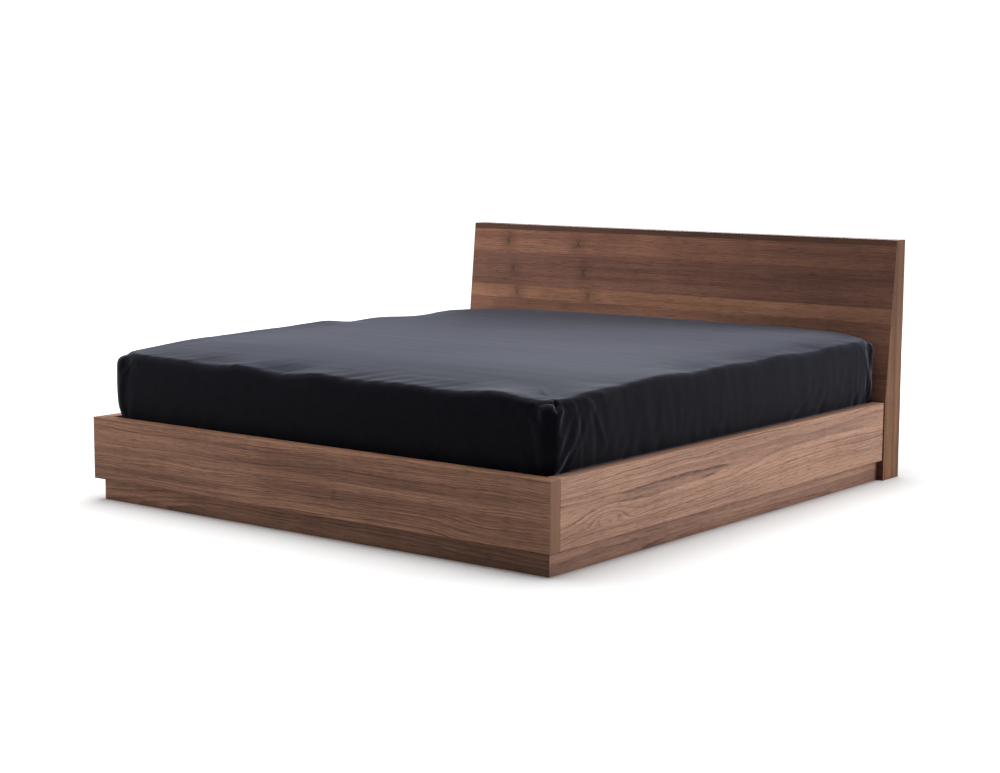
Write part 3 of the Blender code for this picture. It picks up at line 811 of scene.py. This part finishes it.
def fitted_sheet(body):
    """One sheet stretched over the mattress, tucked under it and left to settle."""
    shell = body_shell(0.0, SHEET_QUAD)
    under = SLAT_TOP + SHEET_REST
    rim = shell.rim
    bottom = soft_sides(shell.outward[rim], SLAT_TOP)
    places = np.column_stack([shell.x[rim], shell.y[rim], np.zeros(len(rim))])
    gather = field(places, 22.0, 22.0, 1.0, seed=9.0)
    held_from = sum(len(p) for p in shell.points)
    for inwards, above, ruffle in HEM_ROWS:
        shell.ring(bottom - inwards, under + above + ruffle * gather)
    piece = place_object("sheet_cloth", shell.mesh("sheet_cloth"))
    settle(piece, body, held_from)
    hollow_corners(body)
    clear_of_rails(piece.data)
    smooth = piece.modifiers.new("smooth", "SUBSURF")
    smooth.levels = smooth.render_levels = 1
    piece.data = evaluated(piece)
    piece.modifiers.clear()
    folds(piece.data)
    columns = [shell.column(RIM.left, RIM.foot), shell.column(RIM.right, RIM.foot),
               shell.column(RIM.left, RIM.head), shell.column(RIM.right, RIM.head - HEAD_SEAM)]
    bands = sewn_bands(piece.data, columns, shell.rings[-1])
    thick = piece.modifiers.new("thickness", "SOLIDIFY")
    thick.thickness = CLOTH
    thick.offset = -1
    piece.data = evaluated(piece)
    piece.modifiers.clear()
    piece.data.name = "sheet_cloth"
    piece.data.shade_smooth()
    return piece, bands


def clear_of_rails(mesh):
    """What hangs over a rail rests on its top, and what lies lower stays inside the rails."""
    points = coordinates(mesh)
    x, y, z = points.T
    over = (x > RAIL_INNER_RIGHT - REST) | (x < RAIL_INNER_LEFT + REST) | (y < RAIL_INNER_FOOT + REST)
    above = z > RAIL_TOP - 0.008
    z[over & above] = np.maximum(z[over & above], RAIL_TOP + REST)
    low = ~above
    x[low] = np.clip(x[low], RAIL_INNER_LEFT + REST, RAIL_INNER_RIGHT - REST)
    y[low] = np.maximum(y[low], RAIL_INNER_FOOT + REST)
    set_coordinates(mesh, np.column_stack([x, y, z]))


def settle(piece, body, held_from):
    """Cloth simulation: the hem is held under the mattress and the rest sags onto it."""
    start = coordinates(piece.data)
    hem = piece.vertex_groups.new(name="hem")
    hem.add(list(range(held_from, len(start))), 1.0, "REPLACE")
    taut = piece.vertex_groups.new(name="taut")
    near = np.hypot(np.minimum(RIM.right - start[:, 0], start[:, 0] - RIM.left), start[:, 1] - RIM.foot)
    for n, share in enumerate(ease(0.02, 0.45, near)):
        taut.add([n], float(share), "REPLACE")
    body.modifiers.new("collision", "COLLISION")
    body.collision.thickness_outer = REST
    body.collision.cloth_friction = 12
    cloth = piece.modifiers.new("cloth", "CLOTH")
    settings = cloth.settings
    settings.quality = 6
    settings.mass = 0.12
    settings.tension_stiffness = 18
    settings.compression_stiffness = 12
    settings.shear_stiffness = 6
    settings.bending_stiffness = 0.35
    settings.vertex_group_mass = "hem"
    settings.vertex_group_shrink = "taut"
    settings.shrink_min = -0.016        # the cloth is a little too large, most of all at the corners
    settings.shrink_max = -0.003
    settings.air_damping = 2
    cloth.collision_settings.distance_min = REST
    cloth.collision_settings.use_self_collision = False
    cloth.collision_settings.collision_quality = 3
    scene = bpy.context.scene
    scene.frame_start = 1
    scene.frame_end = SETTLE_FRAMES
    cloth.point_cache.frame_start = 1
    cloth.point_cache.frame_end = SETTLE_FRAMES
    for number in range(1, SETTLE_FRAMES + 1):
        scene.frame_set(number)
    settled = coordinates(evaluated(piece))
    piece.modifiers.clear()
    body.modifiers.clear()
    scene.frame_set(1)
    move = settled - start
    far = np.linalg.norm(move, axis=1, keepdims=True)
    move *= np.minimum(1, MOST_MOVE / np.maximum(far, 1e-9))
    # the foot side stays flatter below its edge
    move *= 1 - 0.6 * ease(0.012, -0.012, start[:, 1:2] - RIM.foot) * ease(0.50, 0.46, start[:, 2:])
    set_coordinates(piece.data, start + move)


def field(points, *scales, seed=0.0):
    """Smooth noise of about -1 to 1 at each point, after scaling its axes."""
    scaled = points * np.array(scales)
    return np.array([noise.noise(Vector((px, py, pz + seed))) for px, py, pz in scaled])


def ridge(value, width):
    return np.exp(-(value / width) ** 2)


def near_corner(x, y, z):
    """Push and rise at the right foot corner: a hole between two lobes, under a small arch."""
    middle_x, middle_y = RIM.right - CORNER, RIM.foot + CORNER
    turn = np.arctan2(middle_y - y, x - middle_x)
    at_corner = ease(-0.02, 0.01, x - middle_x) * ease(-0.02, 0.01, middle_y - y)
    radius = np.hypot(x - middle_x, y - middle_y)
    seam = (turn - pi / 4) * radius
    beside = seam + HOLE_ASIDE
    down = FOOT_EDGE[-1][1] - z
    arch = ridge(beside, 0.012) * ease(0.030, 0.0, down) * ease(-0.045, -0.006, radius - CORNER)
    rise = ARCH_RISE * at_corner * arch
    down = down - rise
    opening = ease(-0.014, -0.005, down) * (1 - ease(0.006, 0.050, down))
    hole = HOLE_DEPTH * ridge(beside, HOLE_WIDTH) * opening
    groove = CORNER_GROOVE * ridge(seam + 0.002, 0.0045) * ease(0.03, 0.05, down)
    both = ridge(beside - LOBE_ASIDE, 0.014) + ridge(beside + LOBE_ASIDE, 0.014)
    lobes = LOBE * both * ridge(down - 0.012, 0.012)
    return at_corner * (lobes - hole - groove), rise


def corner_pleat(x, y, z):
    """A short raised pleat on the top that runs out into the right foot corner."""
    end = Vector(PLEAT_END)
    run = (end - Vector(PLEAT_START)).normalized()
    reach = (x - end.x) * run.x + (y - end.y) * run.y
    beside = (x - end.x) * run.y - (y - end.y) * run.x
    fade = ease(-0.14, -0.06, reach) * ease(0.012, -0.004, reach)
    return PLEAT_RISE * ridge(beside, 0.006) * fade * (z > WIDEST)


def side_folds(y, z, normals):
    """Upright folds on the right side, strongest beside the foot corner."""
    upright = ease(0.6, 0.95, normals[:, 0]) * ease(SLAT_TOP + 0.02, RAIL_TOP + 0.05, z)
    reach = y - RIM.foot
    leaning = np.column_stack([y + (z - WIDEST) * 0.22, z, np.zeros(len(z))])
    ripple = field(leaning, 19.0, 1.2, 1.0, seed=2.0) + 0.5 * field(leaning, 41.0, 2.0, 1.0, seed=3.0)
    push = (SIDE_FOLD * ridge(reach - 0.14, 0.19) + SIDE_RIPPLE) * ripple * ease(0.02, 0.10, reach)
    # one long crease that falls away from the corner, and the curl near its foot
    crease = ridge(reach - 0.16 - (0.52 - z) * 0.55, 0.008)
    push = push + CREASE * crease * ease(0.30, 0.42, z) * ease(0.0, 0.03, 0.525 - z)
    curl = ridge(np.hypot(reach - 0.075, z - 0.325) - 0.050, 0.006)
    push = push + CREASE * curl * ease(0.0, 0.03, 0.08 - reach) * ease(0.0, 0.02, z - 0.325)
    return upright * push


def top_pleats(x, y, z, normals):
    """Slanting pleats where the top turns over the foot and the right side, and faint slack lines."""
    from_foot, from_side, level = y - RIM.foot, RIM.right - x, np.zeros(len(x))
    slanting = np.column_stack([x * 24.0 - from_foot * 13.0, from_foot * 4.0, level])
    near_foot = np.exp(-np.maximum(from_foot, 0) / 0.07)
    push = near_foot * FOOT_PLEAT * field(slanting, 1.0, 1.0, 1.0, seed=6.0)
    slanting = np.column_stack([y * 15.0 + from_side * 9.0, from_side * 4.0, level])
    near_side = np.exp(-np.maximum(from_side, 0) / 0.06)
    push = push + near_side * SIDE_PLEAT * field(slanting, 1.0, 1.0, 1.0, seed=8.0)
    push = push + SLACK_LINE * field(np.column_stack([x, y, z]), 2.2, 17.0, 0.0, seed=12.0)
    return ease(0.55, 0.9, normals[:, 2]) * (z > WIDEST) * push


def head_seam(y, z, normals):
    """The groove of the right head corner's seam and the fold beside it."""
    beside = y - (RIM.head - HEAD_SEAM)
    at_head = ease(0.6, 0.9, normals[:, 0]) * (y > 0) * ease(SLAT_TOP, RAIL_TOP, z)
    return -at_head * (HEAD_GROOVE * ridge(beside, 0.0045) + HEAD_FOLD * ridge(beside + 0.019, 0.004))


def folds(mesh):
    """Push the settled sheet out and in along its normals."""
    points = coordinates(mesh)
    normals = vertex_normals(mesh)
    x, y, z = points.T
    push, rise = near_corner(x, y, z)
    push = push + corner_pleat(x, y, z) + side_folds(y, z, normals)
    push = push + top_pleats(x, y, z, normals) + head_seam(y, z, normals)
    points = points + normals * push[:, None]
    points[:, 2] += rise
    set_coordinates(mesh, points)


def band(name, path, normals, width, thick, closed=False):
    """A flat sewn band along a path, lying on the side that the normals point from."""
    path, normals = np.array(path), np.array(normals)
    if closed:
        ahead, behind = np.roll(path, -1, axis=0), np.roll(path, 1, axis=0)
    else:
        ahead, behind = np.vstack([path[1:], path[-1:]]), np.vstack([path[:1], path[:-1]])
    side = np.cross(ahead - behind, normals)
    side /= np.maximum(np.linalg.norm(side, axis=1, keepdims=True), 1e-9)
    profile = ((-0.5, -0.5), (-0.42, 0.35), (0.0, 0.5), (0.42, 0.35), (0.5, -0.5), (0.0, -0.6))
    rings = [path + side * across * width + normals * high * thick for across, high in profile]
    count, points = len(profile), np.stack(rings, axis=1).reshape(-1, 3)
    faces = []
    for n in range(len(path) - (0 if closed else 1)):
        after = (n + 1) % len(path)
        for k in range(count):
            turn = (k + 1) % count
            faces.append((n * count + k, n * count + turn, after * count + turn, after * count + k))
    if not closed:
        faces.append(tuple(range(count))[::-1])
        faces.append(tuple((len(path) - 1) * count + k for k in range(count)))
    mesh = bpy.data.meshes.new(name)
    mesh.from_pydata(points.tolist(), [], faces)
    mesh.update()
    return place_object(name, mesh)


def sewn_bands(mesh, columns, hem):
    """Flat seams down the sheet's corners and the elastic round its tucked edge."""
    points = coordinates(mesh)
    normals = vertex_normals(mesh)
    made = [band(f"sheet_seam_{number}", points[column], normals[column], SEAM_WIDTH, SEAM_THICK)
            for number, column in enumerate(columns, 1)]
    made.append(band("sheet_elastic", points[hem], normals[hem], ELASTIC_WIDTH, SEAM_THICK, closed=True))
    return made


def ticking():
    """Pale woven cotton."""
    made, g = new_material("ticking")
    place = g.node("ShaderNodeTexCoord").outputs["Object"]
    weave = g.noise(place, 3.0, scale=700.0)
    g.shader(Base_Color=g.mix(g.ranged(weave, 0.35, 0.65), *TICKING), Roughness=0.85,
             Specular_IOR_Level=0.1, Normal=g.bump(weave, 0.0003, 0.5))
    return made


def sateen():
    """Near-black cotton sateen: a dark ground with a pale sheen at grazing angles."""
    made, g = new_material("sateen")
    place = g.node("ShaderNodeTexCoord").outputs["Object"]
    thread = g.noise(place, 2.0, 0.6, scale=1400.0)
    slub = g.noise(place, 2.0, 0.5, scale=60.0)
    tone = g.mix(g.ranged(slub, 0.3, 0.7), *SATEEN)
    g.shader(Base_Color=tone, Roughness=0.6, Specular_IOR_Level=0.02, Sheen_Weight=0.335,
             Sheen_Roughness=0.33, Sheen_Tint=SATEEN_SHEEN,
             Normal=g.bump(g.total(thread, slub), 0.0003, 0.3))
    return made


def soft_goods():
    body = mattress()
    sheet, bands = fitted_sheet(body)
    body.data.materials.append(ticking())
    cloth = sateen()
    sheet.data.materials.append(cloth)
    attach(body, "mattress")
    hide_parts("mattress")
    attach(sheet, "mattress")
    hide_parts("fitted_sheet")
    for piece in bands:
        piece.data.materials.append(cloth)
        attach(piece, "mattress")


camera()
studio()
rail_wood()
headboard_wood()
inner_wood()
hardware()
soft_goods()
